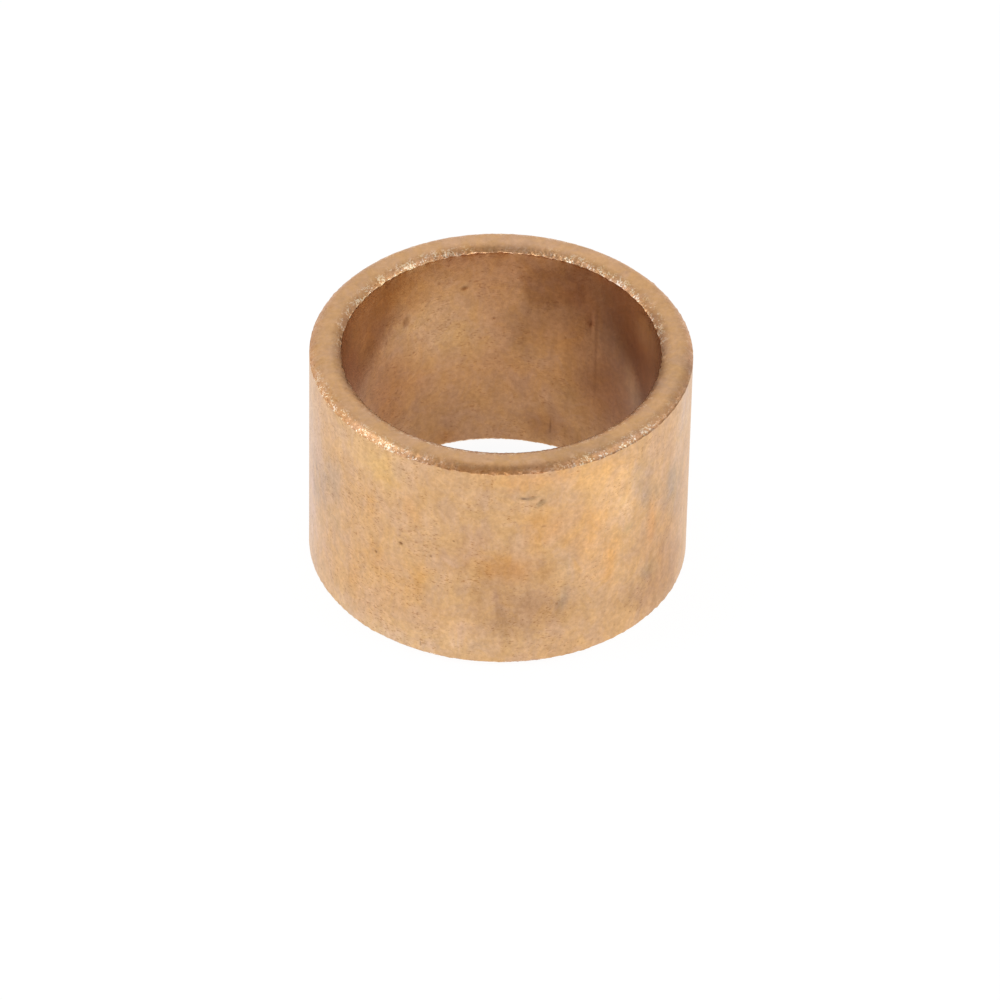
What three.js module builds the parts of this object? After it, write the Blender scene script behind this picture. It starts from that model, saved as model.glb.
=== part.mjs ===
// A plain cylindrical sleeve bushing of sintered bronze, standing on one end face.
//
// Millimetres, +Z up. The origin is on the axis, at the middle of the lower end face,
// and the bore runs along +Z. The sleeve is one solid ring: its wall section is a
// rectangle with a bevel on each of its four corners, turned once round the axis.

import * as THREE from "three";

// Driving dimensions.
const BORE_DIAMETER = 25;
const OUTER_DIAMETER = 30;
const LENGTH = 20;
const BEVEL = 0.5;

// Flat sides that stand for each round surface.
const SIDES = 144;

// The bronze: a warm tan metal with a dull, porous surface.
const bronze = new THREE.MeshStandardMaterial({
  name: "sintered_bronze",
  color: 0xc99a66,
  roughness: 0.45,
  metalness: 1.0,
});

/**
 * The wall section as radius and height, once round and back to its first point,
 * from the lower inner bevel outwards, up the outside, inwards and down the bore.
 */
function wallSection() {
  const boreRadius = BORE_DIAMETER / 2;
  const outerRadius = OUTER_DIAMETER / 2;
  const corners = [
    [boreRadius, BEVEL],
    [boreRadius + BEVEL, 0],
    [outerRadius - BEVEL, 0],
    [outerRadius, BEVEL],
    [outerRadius, LENGTH - BEVEL],
    [outerRadius - BEVEL, LENGTH],
    [boreRadius + BEVEL, LENGTH],
    [boreRadius, LENGTH - BEVEL],
  ];
  const closed = [...corners, corners[0]];
  return closed.map(([radius, height]) => new THREE.Vector2(radius, height));
}

/** The ring that the wall section sweeps, with its axis turned from +Y to +Z. */
function sleeve() {
  const ring = new THREE.LatheGeometry(wallSection(), SIDES);
  ring.rotateX(Math.PI / 2);
  const mesh = new THREE.Mesh(ring, bronze);
  mesh.name = "bushing_sleeve";
  return mesh;
}

const bushing = new THREE.Group();
bushing.name = "sleeve_bushing";
bushing.add(sleeve());

export default bushing;
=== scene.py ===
"""Looks of a plain sleeve bushing of sintered bronze, standing on end on a pale floor.

Metres, +Z up, in the part's own frame: the bore's axis is Z and the lower end face is at
height 0. Angles are in degrees round the axis, from the front, which is -Y, towards +X.
The sleeve's own sizes below are in millimetres and are turned into metres as they are used.
"""

import math
import random

import bmesh
import bpy
import numpy as np
from mathutils import Matrix, Vector, noise


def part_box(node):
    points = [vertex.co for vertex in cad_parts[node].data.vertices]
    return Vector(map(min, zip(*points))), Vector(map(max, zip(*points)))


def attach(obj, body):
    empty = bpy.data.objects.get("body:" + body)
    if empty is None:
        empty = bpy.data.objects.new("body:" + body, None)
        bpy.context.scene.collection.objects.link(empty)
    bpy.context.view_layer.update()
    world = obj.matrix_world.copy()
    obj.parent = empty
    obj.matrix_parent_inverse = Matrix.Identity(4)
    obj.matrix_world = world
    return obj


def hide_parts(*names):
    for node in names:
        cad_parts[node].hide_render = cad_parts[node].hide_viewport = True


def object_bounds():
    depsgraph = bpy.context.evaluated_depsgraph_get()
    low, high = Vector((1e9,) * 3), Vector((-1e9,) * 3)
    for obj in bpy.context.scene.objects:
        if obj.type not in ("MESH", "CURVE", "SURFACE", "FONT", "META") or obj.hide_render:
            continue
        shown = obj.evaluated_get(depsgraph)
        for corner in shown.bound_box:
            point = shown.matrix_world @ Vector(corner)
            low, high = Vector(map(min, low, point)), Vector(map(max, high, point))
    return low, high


MM = 0.001
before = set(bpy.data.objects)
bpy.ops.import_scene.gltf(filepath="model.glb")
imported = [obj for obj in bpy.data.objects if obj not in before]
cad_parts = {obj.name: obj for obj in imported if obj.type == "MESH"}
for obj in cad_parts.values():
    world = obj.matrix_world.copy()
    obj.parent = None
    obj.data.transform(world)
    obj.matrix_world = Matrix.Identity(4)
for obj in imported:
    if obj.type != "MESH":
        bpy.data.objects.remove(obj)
CAD_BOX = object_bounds()
CENTRE = (CAD_BOX[0] + CAD_BOX[1]) / 2


# ---------------------------------------------------------------- sizes, from the CAD sleeve

def cad_sizes(node="bushing_sleeve"):
    """Outer radius, bore radius, length and bevel of the CAD sleeve, in millimetres."""
    low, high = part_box(node)
    nearly_top = high.z - 0.01 * MM
    points = [vertex.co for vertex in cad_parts[node].data.vertices]
    radii = [math.hypot(point.x, point.y) for point in points]
    outer = max(radii)
    bore = min(radii)
    on_top = [radius for radius, point in zip(radii, points) if point.z > nearly_top]
    return outer / MM, bore / MM, (high.z - low.z) / MM, (outer - max(on_top)) / MM


OUTER, BORE, LENGTH, BEVEL = cad_sizes()

# How many points go round the walls, and round the rims that join them, and how many rows of
# points a wall has.
WALL_STEPS = 360
RIM_STEPS = 3 * WALL_STEPS
WALL_ROWS = 28

# Radius of the small rounding at each kind of corner of the wall section.
BORE_EDGE_ROUND = 0.18
INNER_FACE_ROUND = 1.2
OUTER_FACE_ROUND = 1.0
WALL_EDGE_ROUND = 0.03

# The bevel cutter sat a little uneven: the upper bevel ends this much higher in the bore and
# lower on the wall than its size says.
BORE_EDGE_RISE = 0.09
WALL_EDGE_DROP = 0.05


def around(angle):
    """The horizontal direction at an angle round the axis, in radians."""
    return Vector((math.sin(angle), -math.cos(angle), 0))


# ---------------------------------------------------------------- camera

# In degrees, then metres from the sleeve's centre, then millimetres of lens.
CAMERA_ELEVATION = 39.84
CAMERA_ROLL = 1.185
CAMERA_DISTANCE = 0.631
CAMERA_LENS = 288
NEAREST_SEEN = 0.01
FARTHEST_SEEN = 20

# How far the sleeve's centre lies from the middle of the picture, in millimetres.
CENTRE_ABOVE_MIDDLE = 4.255
CENTRE_LEFT_OF_MIDDLE = 0.05


def make_camera():
    """A long lens that looks down at the sleeve from the front, tilted a little to one side."""
    elevation = math.radians(CAMERA_ELEVATION)
    roll = math.radians(CAMERA_ROLL)
    forward = Vector((0, math.cos(elevation), -math.sin(elevation)))
    level_right = Vector((1, 0, 0))
    level_up = level_right.cross(forward)
    right = math.cos(roll) * level_right + math.sin(roll) * level_up
    up = right.cross(forward)
    aim = CENTRE + CENTRE_LEFT_OF_MIDDLE * MM * right - CENTRE_ABOVE_MIDDLE * MM * up
    place = aim - CAMERA_DISTANCE * forward
    data = bpy.data.cameras.new("camera")
    data.lens = CAMERA_LENS
    data.clip_start = NEAREST_SEEN
    data.clip_end = FARTHEST_SEEN
    camera = bpy.data.objects.new("camera", data)
    bpy.context.scene.collection.objects.link(camera)
    turn = Matrix((right, up, -forward)).transposed().to_4x4()
    camera.matrix_world = Matrix.Translation(place) @ turn
    bpy.context.scene.camera = camera


# ---------------------------------------------------------------- node graphs

class Graph:
    """Adds nodes to a material or a world. Every method takes and returns sockets."""

    def __init__(self, owner):
        owner.use_nodes = True
        self.tree = owner.node_tree
        self.tree.nodes.clear()

    def feed(self, socket, value):
        """Links a socket to an input, or sets the input to a plain value."""
        if isinstance(value, bpy.types.NodeSocket):
            self.tree.links.new(value, socket)
        else:
            socket.default_value = value

    def add(self, kind, inputs=None, **settings):
        """A node of the given kind, with inputs by name or number."""
        node = self.tree.nodes.new("ShaderNode" + kind)
        for name, value in settings.items():
            setattr(node, name, value)
        for name, value in (inputs or {}).items():
            self.feed(node.inputs[name], value)
        return node

    def math(self, operation, first, second=0.0, third=0.0):
        return self.add("Math", {0: first, 1: second, 2: third}, operation=operation).outputs[0]

    def less(self, share, amount):
        """1 less a share of an amount."""
        return self.math("SUBTRACT", 1.0, self.math("MULTIPLY", amount, share))

    def scaled(self, point, across, along=None):
        """A point times one factor across the axis and another along it."""
        factors = (across, across, across if along is None else along)
        return self.add("VectorMath", {0: point, 1: factors}, operation="MULTIPLY").outputs[0]

    def noise(self, point, scale, detail, rough=0.5, warp=0.0):
        """Noise from 0 to 1, with about as many blobs to a millimetre as the scale says."""
        inputs = {"Vector": point, "Scale": scale, "Detail": detail, "Roughness": rough, "Distortion": warp}
        return self.add("TexNoise", inputs).outputs[0]

    def ramp(self, value, low, high, start=0.0, end=1.0):
        """Goes smoothly from start to end as the value goes from low to high."""
        inputs = {"Value": value, "From Min": low, "From Max": high, "To Min": start, "To Max": end}
        return self.add("MapRange", inputs, interpolation_type="SMOOTHSTEP").outputs[0]

    def mix(self, share, first, second, blend="MIX"):
        node = self.add("Mix", data_type="RGBA", blend_type=blend, clamp_factor=True)
        self.feed(node.inputs[0], share)
        self.feed(node.inputs[6], first)
        self.feed(node.inputs[7], second)
        return node.outputs[2]


# ---------------------------------------------------------------- light

FLOOR_REACH = 3.0
FLOOR_GLOW = 0.94
FLOOR_WHITE = 0.08
FLOOR_ROUGHNESS = 0.9
FLOOR_SHEEN = 0.1

# How brightly the studio walls glow, in the middle of the gap above the camera, all round, and
# how many times more below the horizon.
GAP_GLOW = 0.4
WALL_GLOW = 0.85
LOW_WALL_GAIN = 1.2
HORIZON_BLUR = 0.1

# The gap's direction, and how closely a direction agrees with it at the gap's edge and its middle.
FRONT_GAP = Vector((0, -0.55, 0.83)).normalized()
GAP_EDGE = 0.6
GAP_MIDDLE = 0.95

# The lamps by name, as azimuth, elevation, width and height in metres, and watts.
LAMP_COLOUR = (0.92, 1.0, 1.14)
LAMP_DISTANCE = 0.6
LAMPS = {
    "lamp_left": (-80, 46, 0.2, 0.3, 0.44),
    "lamp_right": (72, 43, 0.2, 0.26, 0.3),
    "lamp_front": (0, 10, 0.6, 0.1, 1.1),
    "lamp_low_left": (-90, 10, 0.6, 0.1, 0.3),
    "lamp_low_right": (90, 10, 0.6, 0.1, 0.36),
}


def make_world():
    """White studio walls all round, with a darker gap above the front, where the camera stands."""
    world = bpy.data.worlds.new("studio")
    bpy.context.scene.world = world
    graph = Graph(world)
    direction = graph.add("TexCoord").outputs["Generated"]
    inputs = {0: direction, 1: FRONT_GAP}
    towards_gap = graph.add("VectorMath", inputs, operation="DOT_PRODUCT").outputs["Value"]
    strength = graph.ramp(towards_gap, GAP_EDGE, GAP_MIDDLE, WALL_GLOW, GAP_GLOW)
    height = graph.add("SeparateXYZ", {0: direction}).outputs[2]
    gain = graph.ramp(height, -HORIZON_BLUR, HORIZON_BLUR, LOW_WALL_GAIN, 1.0)
    strength = graph.math("MULTIPLY", strength, gain)
    background = graph.add("Background", {"Color": (1, 1, 1, 1), "Strength": strength})
    graph.tree.links.new(background.outputs[0], graph.add("OutputWorld").inputs[0])


def softbox(name, azimuth, elevation, width, height, watts):
    """A rectangular studio lamp that faces the sleeve."""
    data = bpy.data.lights.new(name, "AREA")
    data.shape = "RECTANGLE"
    data.size = width
    data.size_y = height
    data.energy = watts
    data.color = LAMP_COLOUR
    lamp = bpy.data.objects.new(name, data)
    bpy.context.scene.collection.objects.link(lamp)
    above = math.radians(elevation)
    away = math.cos(above) * around(math.radians(azimuth)) + Vector((0, 0, math.sin(above)))
    lamp.location = CENTRE + LAMP_DISTANCE * away
    lamp.rotation_mode = "QUATERNION"
    lamp.rotation_quaternion = away.to_track_quat("Z", "Y")


def make_floor():
    """A wide pale table top that glows a little, as the base of a light tent does."""
    mesh = bpy.data.meshes.new("floor")
    corners = [(FLOOR_REACH * x, FLOOR_REACH * y, 0) for x, y in ((-1, -1), (1, -1), (1, 1), (-1, 1))]
    mesh.from_pydata(corners, [], [(0, 1, 2, 3)])
    floor = bpy.data.objects.new("floor", mesh)
    bpy.context.scene.collection.objects.link(floor)
    material = bpy.data.materials.new("pale_floor")
    graph = Graph(material)
    inputs = {"Base Color": (FLOOR_WHITE, FLOOR_WHITE, FLOOR_WHITE, 1), "Roughness": FLOOR_ROUGHNESS,
              "Specular IOR Level": FLOOR_SHEEN, "Emission Color": (1, 1, 1, 1),
              "Emission Strength": FLOOR_GLOW}
    shader = graph.add("BsdfPrincipled", inputs)
    graph.tree.links.new(shader.outputs[0], graph.add("OutputMaterial").inputs[0])
    mesh.materials.append(material)


def make_light():
    """The studio: its walls, its lamps and plain colours."""
    make_world()
    for name, lamp in LAMPS.items():
        softbox(name, *lamp)
    bpy.context.scene.view_settings.view_transform = "Standard"


# ---------------------------------------------------------------- the sleeve's mesh

BORE_SIDE, BEVEL_SIDE, FACE_SIDE, WALL_SIDE = range(4)

# How far the grain of each side stands up, in the order of the sides, and how much coarser the
# bevels of the bore are cut. Its bumps are of this size, with finer ones on them.
GRAIN_HEIGHT = np.array((0.0015, 0.017, 0.002, 0.0015))
INNER_BEVEL_COARSER = 1.8
GRAIN_SIZE = 0.2
FINE_GRAIN_SIZE = GRAIN_SIZE / 3
FINE_GRAIN_SHARE = 0.6

# The lengths of the short and the long waves of a ragged corner, how strong the long ones are,
# the length of the waves of its rounding, and the least and the most that this comes to.
SHORT_WAVE = 0.45
LONG_WAVE = 4.0
LONG_WAVE_SHARE = 0.6
ROUNDING_WAVE = 0.5
ROUNDING_LIMITS = (0.1, 2.0)
SHORT_WAVE_SEED, LONG_WAVE_SEED, ROUNDING_SEED = 0, 20, 40

# How soon the waves of a corner die out across a wall and across the narrow sides.
WALL_FADING = 80
NARROW_FADING = 2.5

# Where a wall's rows come, as shares of its height: two close to its edge, then the first of
# those that are evenly spaced.
EDGE_ROWS = np.array((0.004, 0.013))
FIRST_EVEN_ROW = 0.035

# The surface is cut open at this angle to be unrolled, and keeps this far from the map's edge.
SEAM_ANGLE = 100
UV_EDGE = 0.003

# How finely the skin is divided round a pit, how far past the pit, and how its sides curve.
PIT_CUTS = 5
PIT_MARGIN_ACROSS = 0.5
PIT_MARGIN_ALONG = 0.9
PIT_CURVE = 1.5

# Points farther than this from a wall, in radius, are taken to be nowhere near its marks.
WALL_REACH = 1.2
NOWHERE_NEAR = 99


def ring_angles(steps):
    """Angles round the axis in radians. The first is where the unrolled surface is cut."""
    return math.radians(SEAM_ANGLE) + np.arange(steps) * math.tau / steps


def ragged(feature, size, seed):
    """A value for each rim step that wavers by size, in bumps about feature long."""
    turns = OUTER / feature
    points = [Vector((math.cos(a) * turns, math.sin(a) * turns, seed)) for a in ring_angles(RIM_STEPS)]
    return np.array([noise.noise(point) for point in points]) * size


def section_corners():
    """The wall section's corners, once round: up the bore, out over the top, down and back in.

    Each is its place (radius, height), the direction in which it wavers round the ring and how
    far, its rounding and how unevenly that runs round the ring, the points of its curve, and the
    rows and side up to the next corner.
    """
    top = LENGTH - BEVEL
    up = np.array((0.0, 1.0))
    out = np.array((1.0, 0.0))
    return [
        ((BORE, BEVEL), 0.08 * up, BORE_EDGE_ROUND, 0, 3, WALL_ROWS, BORE_SIDE),
        ((BORE, top + BORE_EDGE_RISE), 0.07 * up + 0.03 * out, BORE_EDGE_ROUND, 4, 6, 3, BEVEL_SIDE),
        ((BORE + BEVEL, LENGTH), 0.03 * out, INNER_FACE_ROUND, 0, 8, 3, FACE_SIDE),
        ((OUTER - BEVEL, LENGTH), 0.03 * out, OUTER_FACE_ROUND, 0, 7, 4, BEVEL_SIDE),
        ((OUTER, top - WALL_EDGE_DROP), 0.1 * up, WALL_EDGE_ROUND, 0, 3, WALL_ROWS, WALL_SIDE),
        ((OUTER, BEVEL), 0.12 * up, WALL_EDGE_ROUND, 0, 3, 3, BEVEL_SIDE),
        ((OUTER - BEVEL, 0.0), 0.03 * out, OUTER_FACE_ROUND, 0, 3, 2, FACE_SIDE),
        ((BORE + BEVEL, 0.0), 0.03 * out, INNER_FACE_ROUND, 0, 3, 2, BEVEL_SIDE),
    ]


def rounding_curve(before, corner, after, radius, points):
    """Offsets from a corner along the small curve that rounds it."""
    into = np.subtract(corner, before)
    away = np.subtract(after, corner)
    into = into / np.linalg.norm(into)
    away = away / np.linalg.norm(away)
    turn = math.acos(float(into @ away))
    reach = radius * math.tan(turn / 2)
    share = np.linspace(0, 1, points)[:, None]
    return -reach * (1 - share) ** 2 * into + reach * share**2 * away


def row_shares(rows):
    """Where the rows of a wall come: evenly spaced, but crowded close to its two edges."""
    evenly = np.linspace(FIRST_EVEN_ROW, 1 - FIRST_EVEN_ROW, rows - 2 * len(EDGE_ROWS))
    return np.concatenate((EDGE_ROWS, evenly, 1 - EDGE_ROWS[::-1]))


def section_rings():
    """Every ring of the mesh in order round the section, as (points, sides).

    Points is an array of (radius, height), one for each step round the axis. Sides says how
    far the ring belongs to each of the four sides.
    """
    corners = section_corners()
    wavers = []
    curves = []
    for index, (place, way, rounding, uneven, points, _, _) in enumerate(corners):
        before = corners[index - 1][0]
        after = corners[(index + 1) % len(corners)][0]
        size = np.clip(1 + ragged(ROUNDING_WAVE, uneven, index + ROUNDING_SEED), *ROUNDING_LIMITS)
        curve = rounding_curve(before, place, after, rounding, points)
        curves.append(place + curve[:, None] * size[:, None])
        short_waves = ragged(SHORT_WAVE, 1.0, index + SHORT_WAVE_SEED)
        long_waves = ragged(LONG_WAVE, LONG_WAVE_SHARE, index + LONG_WAVE_SEED)
        wavers.append((short_waves + long_waves)[:, None] * way)
    rings = []
    for index, (_, _, _, _, points, rows, side) in enumerate(corners):
        side_before = corners[index - 1][6]
        for share, place in zip(np.linspace(0, 1, points), curves[index]):
            sides = (1 - share) * np.eye(4)[side_before] + share * np.eye(4)[side]
            rings.append((place + wavers[index], sides))
        following = (index + 1) % len(corners)
        tall = side in (BORE_SIDE, WALL_SIDE)
        skip = RIM_STEPS // WALL_STEPS if tall else 1
        fading = WALL_FADING if tall else NARROW_FADING
        shares = row_shares(rows) if tall else np.arange(1, rows + 1) / (rows + 1)
        for share in shares:
            place = (1 - share) * curves[index][-1] + share * curves[following][0]
            waver = (1 - share) ** fading * wavers[index] + share**fading * wavers[following]
            rings.append(((place + waver)[::skip], np.eye(4)[side]))
    return rings


def ring_at(ring, steps):
    """A ring's points at the given number of steps, repeated or skipped as needed."""
    have = len(ring)
    return ring[::have // steps] if have >= steps else np.repeat(ring, steps // have, 0)


def outward(previous, following):
    """Unit normals, as (radius, height), of the ring between these two."""
    along = following - previous
    normal = np.stack((-along[:, 1], along[:, 0]), 1)
    return normal / np.linalg.norm(normal, axis=1)[:, None]


def grain_height(sides, radius):
    """How far the grain pushes a ring in or out. The bevels of the bore are cut coarser."""
    coarser = INNER_BEVEL_COARSER if radius < (BORE + OUTER) / 2 else 1.0
    return float(sides @ GRAIN_HEIGHT * (1 + (coarser - 1) * sides[BEVEL_SIDE]))


def ring_vertices(points, normals, grain):
    """The ring's points in space, each pushed in or out by the grain of its side."""
    vertices = []
    for angle, place, normal in zip(ring_angles(len(points)), points.tolist(), normals.tolist()):
        spot = around(angle) * place[0] + Vector((0, 0, place[1]))
        away = around(angle) * normal[0] + Vector((0, 0, normal[1]))
        bump = noise.noise(spot / GRAIN_SIZE) + FINE_GRAIN_SHARE * noise.noise(spot / FINE_GRAIN_SIZE)
        vertices.append((spot + grain * bump * away) * MM)
    return vertices


def stitch(lower, upper):
    """Faces between two rings of vertex numbers. One ring may have a whole multiple of the other's."""
    if len(lower) == len(upper):
        steps = range(-1, len(lower) - 1)
        return [(lower[step], upper[step], upper[step + 1], lower[step + 1]) for step in steps]
    coarse, fine = sorted((lower, upper), key=len)
    ratio = len(fine) // len(coarse)
    faces = []
    for step in range(-1, len(coarse) - 1):
        first = step * ratio
        middle = first + ratio // 2
        for part in range(first, first + ratio):
            nearest = coarse[step] if part < middle else coarse[step + 1]
            faces.append((fine[part], fine[part + 1], nearest))
        faces.append((coarse[step], fine[middle], coarse[step + 1]))
    return faces if coarse is lower else [face[::-1] for face in faces]


def lay_out(mesh, rings):
    """Unrolls the surface into one rectangle: u goes round the axis, v round the wall section."""
    middles = np.array([points.mean(0) for points, _ in rings])
    lengths = np.linalg.norm(np.roll(middles, -1, 0) - middles, axis=1)
    heights = np.concatenate(([0], np.cumsum(lengths)[:-1])) / lengths.sum()
    steps = [len(points) for points, _ in rings]
    across = np.concatenate([np.arange(count) / count for count in steps])
    along = np.repeat(heights, steps)
    layer = mesh.uv_layers.new(name="OFBake")
    for face in mesh.polygons:
        corners = list(face.vertices)
        place = np.stack((across[corners], along[corners]), 1)
        place += place < place.max(0) - 0.5
        for loop, uv in zip(face.loop_indices, UV_EDGE + (1 - 2 * UV_EDGE) * place):
            layer.data[loop].uv = uv


def sleeve_mesh():
    """The whole sleeve as one closed skin, with its sides marked for the material."""
    rings = section_rings()
    vertices = []
    faces = []
    sides = []
    numbers = []
    for index, (points, share) in enumerate(rings):
        previous = ring_at(rings[index - 1][0], len(points))
        following = ring_at(rings[(index + 1) % len(rings)][0], len(points))
        grain = grain_height(share, points[0, 0])
        numbers.append(range(len(vertices), len(vertices) + len(points)))
        vertices.extend(ring_vertices(points, outward(previous, following), grain))
        sides.extend([share] * len(points))
    for index, ring in enumerate(numbers):
        faces.extend(stitch(ring, numbers[(index + 1) % len(rings)]))
    mesh = bpy.data.meshes.new("sleeve_surface")
    mesh.from_pydata(vertices, [], faces)
    for side, name in ((BORE_SIDE, "bore"), (BEVEL_SIDE, "bevel"), (FACE_SIDE, "face")):
        layer = mesh.attributes.new(name, "FLOAT", "POINT")
        layer.data.foreach_set("value", np.array(sides, np.float32)[:, side])
    lay_out(mesh, rings)
    return mesh


# Pits as angle, height, width, tall, lean, depth and darkness. In the bore too, angles count
# from the front, so that 180 is at its back.
BORE_PITS = (
    (217, 14.6, 0.9, 1.5, 20, 0.025, 0.42),
    (194, 16.3, 0.85, 0.55, -15, 0.025, 0.45),
    (183, 13.0, 0.35, 0.25, 0, 0.04, 0.4),
    (156, 12.0, 0.35, 0.25, 0, 0.04, 0.4),
    (146, 14.4, 0.5, 1.0, 5, 0.02, 0.1),
    (161, 2.5, 0.3, 2.2, 0, 0.03, 0.45),
)
WALL_PITS = (
    (-30, 10.7, 0.5, 0.42, 0, 0.08, 0.95),
    (-39, 8.7, 0.36, 0.36, 0, 0.05, 0.7),
    (-20, 10.4, 0.34, 0.26, 0, 0.05, 0.75),
    (-13, 12.4, 0.3, 0.24, 0, 0.05, 0.7),
    (7.6, 17.0, 0.8, 0.24, -14, 0.03, 0.5),
    (9.8, 17.1, 0.8, 0.2, 10, 0.03, 0.35),
    (12.8, 16.6, 0.75, 0.34, 40, 0.03, 0.35),
    (13.7, 14.1, 0.75, 0.16, 0, 0.03, 0.6),
    (23.3, 13.6, 0.55, 0.16, 0, 0.03, 0.55),
    (-23, 1.2, 0.16, 0.7, 0, 0.03, 0.6),
)

# More pits, on the front of the bore and the back of the wall, as their count, the first and
# the last angle, depth and seed.
FRONT_BORE_PITS = (10, -120, 120, 0.015, 3)
BACK_WALL_PITS = (12, 70, 310, 0.04, 4)


def scattered_pits(count, first_angle, last_angle, depth, seed):
    """Pits of one depth, at random, for a stretch of a wall."""
    draw = random.Random(seed)
    pits = []
    for _ in range(count):
        angle = draw.uniform(first_angle, last_angle)
        height = draw.uniform(1.5, LENGTH - 1.5)
        width = draw.uniform(0.2, 0.5)
        tall = width * draw.uniform(0.5, 1.0)
        pits.append((angle, height, width, tall, draw.uniform(-30, 30), depth, draw.uniform(0.2, 0.6)))
    return tuple(pits)


def oval_distance(points, radius, oval):
    """How far each point is from the middle of an oval on a wall. 1 is the oval's edge."""
    angle, height, width, tall, lean = oval
    turned = np.degrees(np.arctan2(points[:, 0], -points[:, 1])) - angle
    sideways = np.radians((turned + 180) % 360 - 180) * radius
    upwards = points[:, 2] - height
    off_wall = np.abs(np.hypot(points[:, 0], points[:, 1]) - radius) > WALL_REACH
    lean = math.radians(lean)
    across = sideways * math.cos(lean) + upwards * math.sin(lean)
    along = upwards * math.cos(lean) - sideways * math.sin(lean)
    return np.hypot(across / width, along / tall) * 2 + NOWHERE_NEAR * off_wall


def mesh_points(vertices):
    """Where the vertices are, in millimetres, as one array."""
    return np.array([vertex.co[:] for vertex in vertices]) / MM


def cut_pits(mesh):
    """Divides the skin round each pit, then pushes it into the metal there."""
    pits = [(BORE, 1, pit) for pit in BORE_PITS + scattered_pits(*FRONT_BORE_PITS)]
    pits += [(OUTER, -1, pit) for pit in WALL_PITS + scattered_pits(*BACK_WALL_PITS)]
    shape = bmesh.new()
    shape.from_mesh(mesh)
    dark_layer = shape.verts.layers.float.new("pit")
    shape.verts.ensure_lookup_table()
    points = mesh_points(shape.verts)
    edges = set()
    for radius, _, (angle, height, width, tall, *_) in pits:
        oval = (angle, height, width + PIT_MARGIN_ACROSS, tall + PIT_MARGIN_ALONG, 0)
        near = oval_distance(points, radius, oval) < 1
        for number in np.nonzero(near)[0]:
            for face in shape.verts[number].link_faces:
                edges.update(face.edges)
    order = sorted(edges, key=lambda edge: edge.index)
    bmesh.ops.subdivide_edges(shape, edges=order, cuts=PIT_CUTS, use_grid_fill=True)
    shape.verts.ensure_lookup_table()
    points = mesh_points(shape.verts)
    for radius, way, (*oval, depth, darkness) in pits:
        distance = oval_distance(points, radius, oval)
        for number in np.nonzero(distance < 1)[0]:
            vertex = shape.verts[number]
            share = float(1 - distance[number] ** 2) ** PIT_CURVE
            away = Vector((vertex.co.x, vertex.co.y, 0)).normalized()
            vertex.co += way * depth * MM * share * away
            vertex[dark_layer] = share * darkness
    shape.to_mesh(mesh)
    shape.free()
    mesh.shade_smooth()


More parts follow.
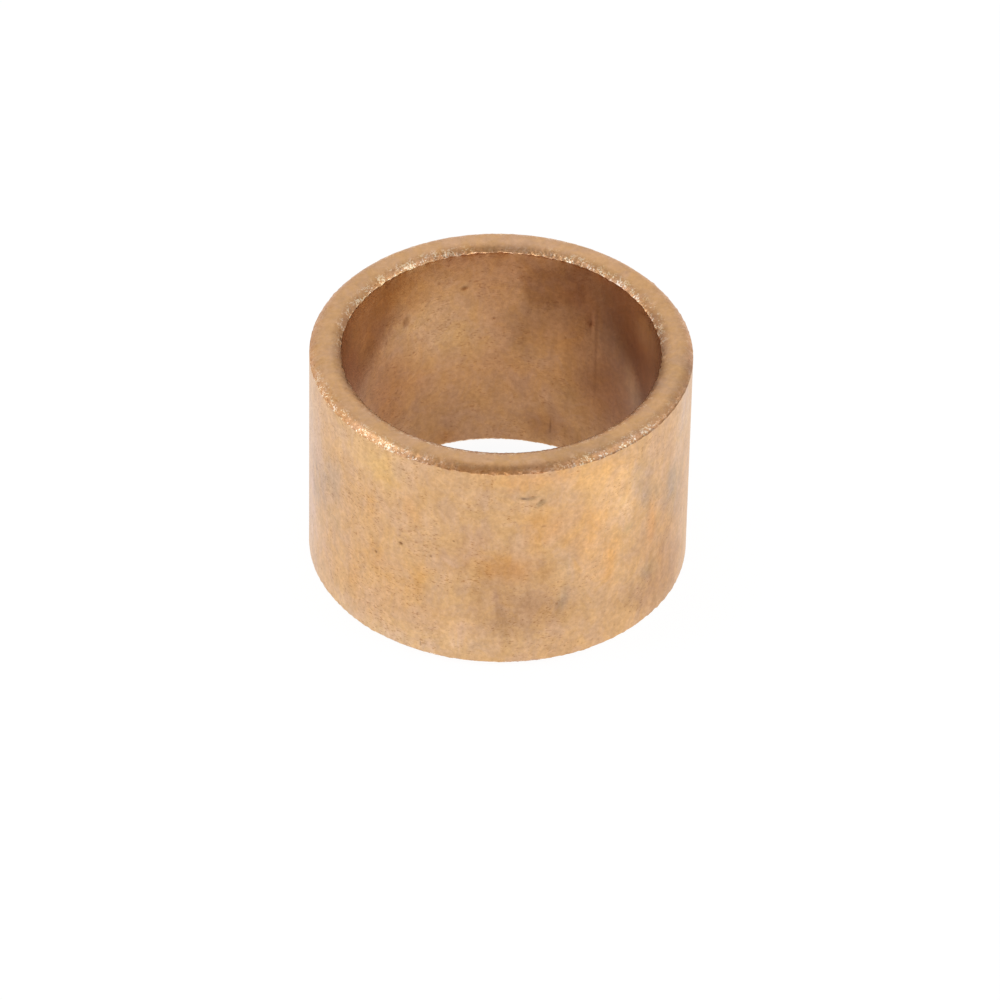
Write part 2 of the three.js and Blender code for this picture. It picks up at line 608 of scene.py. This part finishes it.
# Marks as angle, height, width, tall, lean, softness and the tint that they give the metal.
# They lie over one another, and their tints multiply. Those marked below are painted shadow,
# painted sheen and a painted highlight.
WALL_MARKS = (
    (0, 10.0, 20.0, 40.0, 0, 0.9, (0.92, 0.92, 0.93)),
    (-80, 10.0, 11.0, 30.0, 0, 0.9, (1.02, 1.12, 1.45)),
    (-45, 0.3, 24.0, 3.4, 0, 0.9, (1.06, 1.14, 1.28)),
    (-60, 12.5, 5.0, 6.0, 0, 0.9, (0.88, 0.93, 1.00)),
    (-70, 10.5, 5.0, 8.0, 0, 0.9, (0.86, 0.86, 0.86)),
    (-60, 8.8, 3.6, 4.4, 0, 0.9, (0.93, 0.95, 0.93)),
    (-33, 6.5, 8.0, 8.0, 0, 0.9, (1.0, 0.97, 0.89)),
    (-44, 18.5, 13.0, 9.0, 0, 0.9, (1.04, 1.08, 1.10)),
    (-36, 17.0, 5.5, 6.5, 0, 0.9, (1.04, 1.04, 0.92)),
    (-20, 17.5, 4.0, 4.0, 0, 0.9, (0.96, 0.95, 0.92)),
    (-26, 14.2, 2.2, 3.4, 0, 0.9, (1.04, 0.98, 0.84)),
    (-41, 13.0, 1.4, 5.0, 0, 0.9, (1.05, 1.00, 0.86)),
    (-7, 12.5, 4.0, 5.5, 0, 0.9, (0.94, 0.92, 0.96)),
    (-10, 10.2, 5.0, 4.0, 0, 0.9, (0.95, 0.93, 0.95)),
    (10, 10.2, 6.0, 4.0, 0, 0.9, (0.95, 0.92, 0.90)),
    (-30, 1.8, 32.0, 3.2, 0, 0.9, (1.0, 1.04, 1.10)),
    (-40, 8.5, 3.5, 3.5, 0, 0.9, (0.98, 0.94, 0.86)),
    (-48, 5.0, 2.0, 7.0, 0, 0.9, (1.02, 0.97, 0.84)),
    (-24, 8.0, 2.2, 5.0, 0, 0.9, (1.02, 0.96, 0.80)),
    (-20, 5.0, 4.0, 3.0, 0, 0.9, (0.98, 0.95, 0.87)),
    (-20, 12.5, 2.6, 2.6, 0, 0.9, (1.05, 1.06, 1.06)),
    (3, 7.0, 9.0, 16.0, 0, 0.9, (0.89, 0.85, 0.78)),
    (-11, 3.0, 4.0, 5.0, 0, 0.9, (1.10, 1.12, 1.18)),
    (2, 10.2, 7.0, 4.6, 0, 0.9, (1.02, 0.91, 0.74)),
    (0.0, 4.5, 3.4, 5.5, 8, 0.9, (0.88, 0.88, 0.93)),
    (5, 3.2, 7.0, 3.4, 0, 0.9, (1.02, 1.05, 1.11)),
    (20, 1.8, 4.0, 3.0, 0, 0.9, (0.92, 0.92, 0.98)),
    (-0.4, 7.4, 1.2, 2.6, 0, 0.9, (0.86, 0.84, 0.92)),
    (12.0, 5.2, 9.0, 8.0, 0, 0.9, (0.88, 0.85, 0.84)),
    (20, 6.4, 1.3, 3.6, -12, 0.9, (0.84, 0.90, 0.96)),
    (14, 13.8, 4.5, 7.0, -15, 0.9, (1.04, 0.96, 0.82)),
    (9, 14.8, 4.0, 4.0, 0, 0.9, (1.01, 0.97, 0.87)),
    (25, 13.0, 6.0, 8.0, 0, 0.9, (1.02, 0.96, 0.84)),
    (56, 8.0, 9.0, 6.0, 0, 0.9, (0.92, 0.87, 0.79)),
    (9, 18.8, 11.0, 3.0, 0, 0.9, (1.07, 0.98, 0.82)),
    (30, 18.4, 9.0, 4.5, 0, 0.9, (1.16, 1.12, 1.00)),
    (38, 15.0, 7.0, 9.0, 12, 0.7, (1.16, 1.17, 1.14)),
    (40, 13.2, 3.0, 5.0, 10, 0.9, (1.06, 1.10, 1.16)),
    (31, 10.5, 5.0, 9.0, 0, 0.9, (1.10, 1.07, 0.99)),
    (36, 8.5, 2.2, 6.0, 0, 0.9, (1.05, 0.97, 0.82)),
    (48, 15.8, 3.0, 7.0, 0, 0.9, (0.92, 0.98, 1.14)),
    (43, 11.2, 2.2, 1.8, 20, 0.9, (0.86, 0.91, 0.98)),
    (53, 10.5, 1.8, 7.0, 0, 0.9, (1.05, 0.94, 0.78)),
    (51, 13.2, 3.8, 4.4, 0, 0.9, (0.85, 0.90, 1.01)),
    # Painted shadow: this row and the next, and the dark rows at 50, 42 and 62 degrees below, darken the
    # wall low on its +X side, where it mirrors the floor in the sleeve's own shadow.
    (52, 5.6, 3.4, 3.2, 0, 0.9, (0.85, 0.89, 0.90)),
    (62, 3.6, 11.0, 10.0, 0, 0.9, (0.83, 0.75, 0.67)),
    (61, 11.5, 3.2, 7.0, 0, 0.9, (0.94, 0.92, 0.93)),
    (24, 5.5, 7.0, 7.0, 0, 0.9, (0.94, 0.94, 0.94)),
    (50, 4.0, 5.0, 6.0, 0, 0.9, (0.94, 0.94, 0.96)),
    (70, 9.0, 4.5, 7.0, 0, 0.9, (0.88, 0.89, 0.96)),
    (42, 4.0, 6.0, 6.0, 0, 0.9, (0.86, 0.84, 0.82)),
    (62, 1.6, 5.0, 3.0, 0, 0.9, (0.92, 0.92, 0.92)),
    (66, 12.0, 5.5, 6.5, 0, 0.9, (0.80, 0.88, 1.00)),
    (72, 17.0, 5.5, 8.0, 0, 0.9, (1.03, 1.14, 1.42)),
    (22, 10.0, 2.2, 4.2, 0, 0.9, (0.96, 1.01, 1.12)),
    (23, 16.1, 1.3, 1.0, 0, 0.8, (0.84, 0.87, 0.94)),
    (8.3, 17.0, 1.8, 0.4, -12, 0.9, (0.60, 0.64, 0.70)),
    (10.8, 17.05, 1.5, 0.36, 14, 0.9, (0.76, 0.78, 0.80)),
    (12.9, 16.45, 1.6, 0.8, 40, 0.9, (0.72, 0.75, 0.78)),
)
BORE_MARKS = (
    (0, 10.0, 50.0, 44.0, 0, 0.5, (1.30, 1.45, 1.50)),
    (218, 16.8, 8.0, 6.0, 0, 0.9, (0.97, 0.85, 0.70)),
    (208, 13.5, 12.0, 12.0, 15, 0.9, (1.20, 1.32, 1.40)),
    # Painted sheen: paler and bluer near the top on the -X side, over the dark second reflection of the
    # bore in itself.
    (238, 19.0, 18.0, 10.0, 0, 0.7, (1.60, 2.10, 2.30)),
    (197, 17.0, 9.0, 8.0, 0, 0.9, (1.10, 1.16, 1.22)),
    # Partly tarnish, partly painted shadow: the bore's +X side mirrors the floor inside the sleeve that its
    # -X wall shades from lamp_left.
    (127, 9.5, 18.0, 20.0, 0, 0.9, (0.51, 0.41, 0.355)),
    (151, 8.0, 8.0, 12.0, 0, 0.9, (0.86, 0.82, 0.76)),
    (162, 2.5, 6.0, 5.0, 0, 0.9, (0.80, 0.73, 0.69)),
    # Painted shadow, in these two rows: the same mirrored shadow of the floor inside the sleeve.
    (151, 15.5, 11.0, 10.0, 0, 0.6, (0.80, 0.76, 0.72)),
    (131, 14.8, 11.0, 10.0, 0, 0.9, (0.72, 0.72, 0.74)),
    (170, 12.5, 6.0, 15.0, 0, 0.9, (0.78, 0.77, 0.77)),
    # Painted sheen, in these two rows: paler and bluer near the top on the +X side, over the dark second
    # reflection of the bore in itself.
    (105, 18.0, 9.0, 8.0, 0, 0.9, (1.60, 2.05, 2.30)),
    (127, 18.6, 15.0, 6.0, 0, 0.8, (0.96, 1.14, 1.40)),
    (156, 14.6, 8.0, 3.4, 0, 0.9, (0.86, 0.84, 0.82)),
    (240, 14.2, 5.0, 4.4, 0, 0.9, (1.10, 1.26, 1.26)),
    (238, 17.4, 8.0, 3.0, 0, 0.9, (0.87, 0.84, 0.84)),
    (215, 14.6, 7.0, 4.6, 0, 0.9, (1.08, 1.12, 1.12)),
    (195, 11.0, 8.0, 7.0, 0, 0.9, (1.04, 1.10, 1.12)),
    # Painted shadow, with a sharper edge: the same mirrored shadow of the floor inside the sleeve.
    (161.5, 16.8, 6.8, 4.4, 0, 0.3, (0.77, 0.71, 0.69)),
    (147, 16.2, 7.0, 5.4, 0, 0.9, (0.90, 0.84, 0.84)),
    (249, 17.0, 5.0, 4.0, 0, 0.9, (0.90, 0.93, 0.95)),
    (116, 17.0, 5.0, 3.4, 0, 0.9, (0.93, 0.94, 1.00)),
    (211, 18.8, 5.0, 2.6, 0, 0.9, (0.95, 0.89, 0.82)),
    (221, 10.5, 5.0, 9.0, 0, 0.9, (1.00, 1.04, 1.12)),
    (180, 8.4, 5.0, 3.4, 0, 0.9, (0.95, 0.92, 0.84)),
    (155, 5.8, 5.0, 4.0, 0, 0.9, (0.92, 0.94, 0.95)),
    (199, 0.9, 4.0, 2.4, 0, 0.9, (0.96, 0.88, 0.78)),
    (170, 1.5, 3.4, 3.0, 0, 0.9, (1.07, 1.09, 1.11)),
    (224, 5.6, 5.0, 3.4, 0, 0.9, (0.96, 0.93, 0.88)),
    (150, 14.5, 5.0, 9.0, 0, 0.9, (0.92, 0.89, 0.87)),
    (115, 10.0, 4.5, 4.4, 0, 0.9, (0.84, 0.82, 0.75)),
    (242, 10.0, 5.0, 4.4, 0, 0.9, (0.89, 0.85, 0.75)),
    (204, 1.6, 8.0, 3.2, 0, 0.9, (0.92, 0.88, 0.82)),
    (150, 1.6, 4.5, 4.0, 0, 0.9, (0.84, 0.80, 0.74)),
    (161, 12.3, 9.0, 6.0, 0, 0.9, (0.94, 0.88, 0.79)),
    (122, 11.0, 3.0, 5.0, -15, 0.8, (1.25, 1.45, 1.65)),
    (229, 8.0, 12.0, 14.0, 0, 0.9, (0.86, 0.74, 0.63)),
    (158, 18.8, 9.0, 3.4, 0, 0.9, (0.84, 0.83, 0.82)),
    (139, 10.0, 5.0, 7.0, 0, 0.9, (0.88, 0.83, 0.78)),
    (128, 6.5, 12.0, 8.0, 0, 0.9, (0.94, 0.87, 0.82)),
    (234, 8.0, 9.0, 8.0, 0, 0.9, (0.90, 0.87, 0.80)),
    (207, 4.0, 8.0, 6.0, 0, 0.9, (0.90, 0.89, 0.92)),
    (170, 6.5, 7.0, 6.0, 0, 0.9, (0.92, 0.90, 0.91)),
    (144.5, 14.4, 0.6, 4.4, 0, 0.9, (1.35, 1.40, 1.50)),
    (143, 11.0, 0.4, 14.0, 0, 0.9, (0.82, 0.78, 0.76)),
    (146, 14.4, 1.4, 2.6, 0, 0.9, (0.84, 0.74, 0.70)),
)
INNER_BEVEL_MARKS = (
    (140, LENGTH, 9.0, 5.0, 0, 0.9, (0.73, 0.74, 0.75)),
    # Painted highlight: a thin bright line along the bore's edge, at the back on the +X side.
    (128, LENGTH - BEVEL + 0.06, 22.0, 0.26, 0, 0.9, (1.45, 1.42, 1.40)),
    (-85, LENGTH, 20.0, 5.0, 0, 0.9, (0.70, 0.69, 0.68)),
    (-120, LENGTH, 6.0, 5.0, 0, 0.9, (0.82, 0.82, 0.80)),
    (-162, LENGTH, 6.0, 5.0, 0, 0.9, (0.98, 0.91, 0.82)),
    (-50, LENGTH, 14.0, 5.0, 0, 0.9, (0.88, 0.79, 0.65)),
    (50, LENGTH, 14.0, 5.0, 0, 0.9, (0.90, 0.77, 0.66)),
    (106, LENGTH, 7.0, 5.0, 0, 0.9, (0.95, 0.92, 0.91)),
    (-106, LENGTH, 6.0, 5.0, 0, 0.9, (0.98, 0.94, 0.93)),
    (88, LENGTH, 20.0, 5.0, 0, 0.9, (0.62, 0.61, 0.62)),
)
OUTER_BEVEL_MARKS = (
    (-35, LENGTH, 9.0, 5.0, 0, 0.9, (1.00, 1.04, 1.12)),
    (48, LENGTH - BEVEL - 0.02, 20.0, 0.26, 0, 0.9, (0.60, 0.57, 0.55)),
    (0, LENGTH, 17.0, 5.0, 0, 0.9, (0.94, 0.84, 0.72)),
    (74, LENGTH, 14.0, 5.0, 0, 0.9, (0.66, 0.66, 0.68)),
    (46, LENGTH, 14.0, 5.0, 0, 0.9, (0.80, 0.80, 0.80)),
)
# Where the bevels are rubbed smooth, as radius, angle, height, width, tall and lean. These are
# also where no lamp glints in the bevels as the camera sees them, so the painted glints of the
# pale grains are kept off there.
WORN_AND_GLINTLESS_BEVELS = (
    (OUTER, 9, LENGTH, 12.0, 6.0, 0),
    (OUTER, -6, LENGTH, 13.0, 6.0, 0),
    (OUTER, 80, LENGTH, 20.0, 6.0, 0),
    (OUTER, 118, LENGTH, 20.0, 6.0, 0),
    (OUTER, -118, LENGTH, 20.0, 6.0, 0),
    (OUTER, -92, LENGTH, 14.0, 6.0, 0),
    (BORE, 178, LENGTH, 12.0, 6.0, 0),
    (BORE, 80, LENGTH, 13.0, 6.0, 0),
    (BORE, -74, LENGTH, 15.0, 6.0, 0),
)
FACE_MARKS = (
    (28, LENGTH, 9.0, 5.0, 0, 0.9, (0.87, 0.86, 0.84)),
    (80, LENGTH, 8.0, 5.0, 0, 0.9, (0.94, 0.95, 0.97)),
    (175, LENGTH, 26.0, 5.0, 0, 0.9, (1.05, 1.06, 1.12)),
    (-60, LENGTH, 7.0, 5.0, 0, 0.9, (1.03, 1.01, 0.97)),
)

# More marks, on the front of the bore and the back of the wall, as their count, the first and
# the last angle and seed.
FRONT_BORE_MARKS = (10, -90, 90, 8)
BACK_WALL_MARKS = (26, 90, 270, 7)

# The softness of those marks, and of the rubbed places without painted glints.
SOFT_EDGE = 0.9
WORN_AND_GLINTLESS_EDGE = 0.8

# Marks that are no wider or no taller than this keep their plain shape.
SMALL_WIDTH = 2.0
SMALL_HEIGHT = 1.0

# Two layers of swirls, as their size and how far they move the other marks' edges.
WIDE_SWIRLS = (2.5, 0.9)
SMALL_SWIRLS = (0.6, 0.25)

# The size of the mottling's patches, how many times as tall they are, and how the mottling is
# turned into a weight for the marks, as a gain and a start.
MOTTLE_SIZE = 0.9
MOTTLE_STRETCH = 2
MOTTLE_GAIN = 0.9
MOTTLE_START = 0.7


def scattered_marks(count, first_angle, last_angle, seed):
    """Marks at random, for a stretch of a wall."""
    draw = random.Random(seed)
    marks = []
    for _ in range(count):
        angle = draw.uniform(first_angle, last_angle)
        height = draw.uniform(2, LENGTH - 2)
        width = draw.uniform(1.5, 7)
        tall = width * draw.uniform(0.7, 1.8)
        level = draw.uniform(0.85, 1.1)
        warmth = draw.uniform(-0.1, 0.12)
        tint = (level * (1 + warmth / 3), level, level * (1 - warmth))
        marks.append((angle, height, width, tall, draw.uniform(-15, 15), SOFT_EDGE, tint))
    return tuple(marks)


def drifted(points, size, amount):
    """The points, moved about in swirls of the given size, so that no mark is a plain oval."""
    swirls = [noise.noise_vector(Vector(point) / size)[:] for point in points]
    return points + amount * np.array(swirls)


def mottling(points):
    """Uneven values from 0 to 1, drawn out upwards a little, that break up the marks."""
    stretched = (points * (1, 1, 1 / MOTTLE_STRETCH) / MOTTLE_SIZE).tolist()
    return np.array([0.5 + noise.fractal(Vector(point), 1.0, 2.0, 4) for point in stretched]).clip(0, 1)


def soft_share(distance, softness):
    """1 well inside an oval and 0 outside it, with a soft edge of the given share of its radius."""
    share = np.clip((1 - distance) / softness, 0, 1)
    return share**2 * (3 - 2 * share)


def paint_wear_and_glint_gaps(mesh):
    """Keeps at each vertex how far the cut grains of the bevel are rubbed smooth there, and so
    where the pale grains' painted glints are left out, where no lamp glints in the bevel.
    """
    points = mesh_points(mesh.vertices)
    wear_and_no_glint = np.zeros(len(points))
    for radius, *oval in WORN_AND_GLINTLESS_BEVELS:
        wear_and_no_glint = np.maximum(wear_and_no_glint, soft_share(oval_distance(points, radius, oval), WORN_AND_GLINTLESS_EDGE))
    layer = mesh.attributes.new("wear_and_no_glint", "FLOAT", "POINT")
    layer.data.foreach_set("value", wear_and_no_glint.astype(np.float32))


def paint_marks(mesh, sides):
    """Keeps at each vertex the tint that tarnish, oil and handling give the metal there, with the
    painted shadow, painted sheen and painted highlight of some marks.
    """
    straight = mesh_points(mesh.vertices)
    points = drifted(drifted(straight, *WIDE_SWIRLS), *SMALL_SWIRLS)
    mottle = MOTTLE_GAIN * mottling(straight) + MOTTLE_START
    uneven = sides["bore"] + (1 - sides["bore"]) * mottle
    marks = [("bore", BORE, mark) for mark in BORE_MARKS + scattered_marks(*FRONT_BORE_MARKS)]
    marks += [("wall", OUTER, mark) for mark in WALL_MARKS + scattered_marks(*BACK_WALL_MARKS)]
    marks += [("bevel", BORE, mark) for mark in INNER_BEVEL_MARKS]
    marks += [("bevel", OUTER, mark) for mark in OUTER_BEVEL_MARKS]
    marks += [("face", (BORE + OUTER) / 2, mark) for mark in FACE_MARKS]
    tints = np.ones((len(points), 4), np.float32)
    for side, radius, (angle, height, width, tall, lean, soft, tint) in marks:
        small = width <= SMALL_WIDTH or tall <= SMALL_HEIGHT
        where = straight if small else points
        distance = oval_distance(where, radius, (angle, height, width, tall, lean))
        share = np.clip(soft_share(distance, soft) * uneven, 0, 1) * sides[side]
        tints[:, :3] *= 1 + share[:, None] * (np.array(tint) - 1)
    layer = mesh.attributes.new("tint", "FLOAT_COLOR", "POINT")
    layer.data.foreach_set("color", tints.ravel())


def side_shares(mesh):
    """How far each vertex belongs to each side, by the side's name."""
    shares = {}
    for name in ("bore", "bevel", "face"):
        shares[name] = np.empty(len(mesh.vertices), np.float32)
        mesh.attributes[name].data.foreach_get("value", shares[name])
    shares["wall"] = 1 - shares["bore"] - shares["bevel"] - shares["face"]
    return shares


# ---------------------------------------------------------------- the sleeve's material

BRONZE = (0.70, 0.435, 0.235, 1)
# The bore's bronze is darker and redder than the outside's: partly its own colour, partly painted shade, as
# the floor inside the sleeve glows as brightly as the floor outside it.
SHADED_BORE_BRONZE = (0.50, 0.262, 0.124, 1)
FACE_BRONZE = (0.69, 0.415, 0.22, 1)
BEVEL_BRONZE = (0.60, 0.325, 0.162, 1)
# The pale cut grains of the bevels: partly their own colour, partly painted glint, as their pale colour
# gives the lamps' glints their cream.
BEVEL_GLINT = (0.97, 0.80, 0.59, 1)

# Tints that the metal's colour is multiplied by.
# The first is painted shade: the bore darkens downwards, where it mirrors the shaded floor inside the
# sleeve.
LOW_BORE_SHADE = (0.80, 0.80, 0.82, 1)
GOLDEN_TINT = (1.02, 0.99, 0.86, 1)
ROSY_TINT = (0.99, 1.0, 1.08, 1)
DARK_STREAK_TINT = (0.965, 0.955, 0.95, 1)
PALE_STREAK_TINT = (1.03, 1.03, 1.03, 1)
DARK_GRAIN_TINT = (0.88, 0.85, 0.83, 1)
PALE_GRAIN_TINT = (1.10, 1.12, 1.13, 1)
PORE_TINT = (0.75, 0.65, 0.57, 1)
PIT_TINT = (0.26, 0.18, 0.13, 1)
DARK_TONE = 0.94
PALE_TONE = 1.06

# Noises as scale, detail and, where they differ from the usual, roughness and warp.
FINE_NOISE = (6.6, 2.0, 0.6)
GRAIN_NOISE = (2.6, 5.0, 0.65, 0.4)
CLUMP_NOISE = (1.8, 2.0)
HUE_NOISE = (0.5, 6.0, 0.72, 0.6)
TONE_NOISE = (0.9, 4.0, 0.66, 0.5)
STREAK_NOISE = (1.1, 5.0, 0.7)
PORE_NOISE = (3.2, 2.0)
CROWD_NOISE = (0.4, 1.0)

# How far the patches, the streaks and the pores are squeezed along the axis. Less than 1 draws
# them out.
HUE_SQUEEZE = 0.7
TONE_SQUEEZE = 0.8
STREAK_SQUEEZE = 0.07
PORE_SQUEEZE = 2.6

# The values between which each noise goes from one end of its range to the other.
GRAIN_RANGE = (0.25, 0.75)
GLINT_RANGE = (0.53, 0.66)
HUE_RANGE = (0.36, 0.64)
TONE_RANGE = (0.32, 0.68)
STREAK_RANGE = (0.3, 0.7)
CROWD_RANGE = (0.35, 0.65)

# Roughness of the outside and the bore, and the bump of the grain, in millimetres deep. On the
# bevels the fine noise is added to it, so many times.
WALL_ROUGHNESS = 0.4
BORE_ROUGHNESS = 0.26
BUMP_STRENGTH = 0.3
BUMP_DEPTH = 0.02
BEVEL_BUMP_GAIN = 2.6

# The shares of grain and pores that the end face lacks, and of the painted glints where a
# bevel is rubbed smooth, and how strongly the glints come in clumps.
FACE_GRAIN_LOSS = 0.5
FACE_PORE_LOSS = 0.85
WORN_GLINT_LOSS = 0.8
GLINT_CLUMPING = 0.7

# The heights, in millimetres, between which the bore darkens downwards: painted shade.
BORE_SHADE_HEIGHTS = (9.5, 2.0)

# Pores open where their noise passes a threshold, which is high where they are rare. Crowds
# thin out by the slope for each millimetre towards +X.
RARE_PORES = 0.70
CROWDED_PORES = 0.575
PORE_SLOPE = -0.006
PORE_SOFTNESS = 0.09


def bronze():
    """Bare sintered bronze: the metal of each side, its tints, grain, pores and pits."""
    material = bpy.data.materials.new("sintered_bronze")
    graph = Graph(material)
    point = graph.scaled(graph.add("TexCoord").outputs["Object"], 1 / MM)
    sides = {name: graph.add("Attribute", attribute_name=name).outputs["Fac"]
             for name in ("bore", "bevel", "face", "pit", "wear_and_no_glint")}
    tint = graph.add("Attribute", attribute_name="tint").outputs["Color"]
    fine = graph.noise(point, *FINE_NOISE)
    grain = graph.noise(point, *GRAIN_NOISE)
    colour = graph.mix(1.0, base_colour(graph, point, sides, fine), tint, "MULTIPLY")
    graininess = graph.less(FACE_GRAIN_LOSS, sides["face"])
    for factor in (hue_patches(graph, point), vertical_streaks(graph, point)):
        colour = graph.mix(1.0, colour, factor, "MULTIPLY")
    grainy = graph.mix(graph.ramp(grain, *GRAIN_RANGE), DARK_GRAIN_TINT, PALE_GRAIN_TINT)
    colour = graph.mix(graininess, colour, graph.mix(1.0, colour, grainy, "MULTIPLY"))
    pore = graph.math("MULTIPLY", pores(graph, point), graph.less(FACE_PORE_LOSS, sides["face"]))
    colour = graph.mix(pore, colour, PORE_TINT, "MULTIPLY")
    colour = graph.mix(sides["pit"], colour, PIT_TINT, "MULTIPLY")
    rough = graph.ramp(sides["bore"], 0.0, 1.0, WALL_ROUGHNESS, BORE_ROUGHNESS)
    height = graph.math("MULTIPLY", grain, graininess)
    bevel_height = graph.math("MULTIPLY", fine, BEVEL_BUMP_GAIN)
    height = graph.math("MULTIPLY_ADD", sides["bevel"], bevel_height, height)
    inputs = {"Height": height, "Strength": BUMP_STRENGTH, "Distance": BUMP_DEPTH * MM}
    bump = graph.add("Bump", inputs).outputs[0]
    inputs = {"Base Color": colour, "Metallic": 1.0, "Roughness": rough, "Normal": bump}
    shader = graph.add("BsdfPrincipled", inputs)
    graph.tree.links.new(shader.outputs[0], graph.add("OutputMaterial").inputs[0])
    return material


def base_colour(graph, point, sides, fine):
    """The metal of each side. The bore darkens downwards, as painted shade, and the bevels have
    pale cut grains, which also paint the cream of the lamps' glints.
    """
    height = graph.add("SeparateXYZ", {0: point}).outputs[2]
    bore = graph.mix(graph.ramp(height, *BORE_SHADE_HEIGHTS), SHADED_BORE_BRONZE, LOW_BORE_SHADE, "MULTIPLY")
    cut = graph.less(WORN_GLINT_LOSS, sides["wear_and_no_glint"])
    clumps = graph.noise(point, *CLUMP_NOISE)
    clumps = graph.math("MULTIPLY_ADD", clumps, GLINT_CLUMPING, -GLINT_CLUMPING / 2)
    glint = graph.math("MULTIPLY", graph.ramp(graph.math("ADD", fine, clumps), *GLINT_RANGE), cut)
    bevel = graph.mix(glint, BEVEL_BRONZE, BEVEL_GLINT)
    colour = graph.mix(sides["face"], BRONZE, FACE_BRONZE)
    colour = graph.mix(sides["bore"], colour, bore)
    return graph.mix(sides["bevel"], colour, bevel)


def hue_patches(graph, point):
    """Golden and rosy patches a few millimetres wide, with smaller ones in them."""
    wide = graph.noise(graph.scaled(point, 1, HUE_SQUEEZE), *HUE_NOISE)
    tone = graph.noise(graph.scaled(point, 1, TONE_SQUEEZE), *TONE_NOISE)
    hue = graph.mix(graph.ramp(wide, *HUE_RANGE), GOLDEN_TINT, ROSY_TINT)
    return graph.mix(1.0, hue, graph.ramp(tone, *TONE_RANGE, DARK_TONE, PALE_TONE), "MULTIPLY")


def vertical_streaks(graph, point):
    """Faint streaks along the axis, as sizing the sleeve in its die leaves them."""
    streaks = graph.noise(graph.scaled(point, 1, STREAK_SQUEEZE), *STREAK_NOISE)
    return graph.mix(graph.ramp(streaks, *STREAK_RANGE), DARK_STREAK_TINT, PALE_STREAK_TINT)


def pores(graph, point):
    """Small open pores, wider than tall, that come in crowds, mostly on the -X half."""
    spots = graph.noise(graph.scaled(point, 1, PORE_SQUEEZE), *PORE_NOISE)
    across = graph.add("SeparateXYZ", {0: point}).outputs[0]
    crowding = graph.math("MULTIPLY_ADD", across, PORE_SLOPE, graph.noise(point, *CROWD_NOISE))
    threshold = graph.ramp(crowding, *CROWD_RANGE, RARE_PORES, CROWDED_PORES)
    return graph.ramp(graph.math("SUBTRACT", spots, threshold), 0.0, PORE_SOFTNESS)


def make_sleeve():
    """The one piece of the look, in place of the CAD sleeve."""
    mesh = sleeve_mesh()
    cut_pits(mesh)
    paint_wear_and_glint_gaps(mesh)
    paint_marks(mesh, side_shares(mesh))
    mesh.materials.append(bronze())
    sleeve = bpy.data.objects.new("sleeve_surface", mesh)
    bpy.context.scene.collection.objects.link(sleeve)
    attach(sleeve, "root")
    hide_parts("bushing_sleeve")


make_camera()
make_light()
make_floor()
make_sleeve()
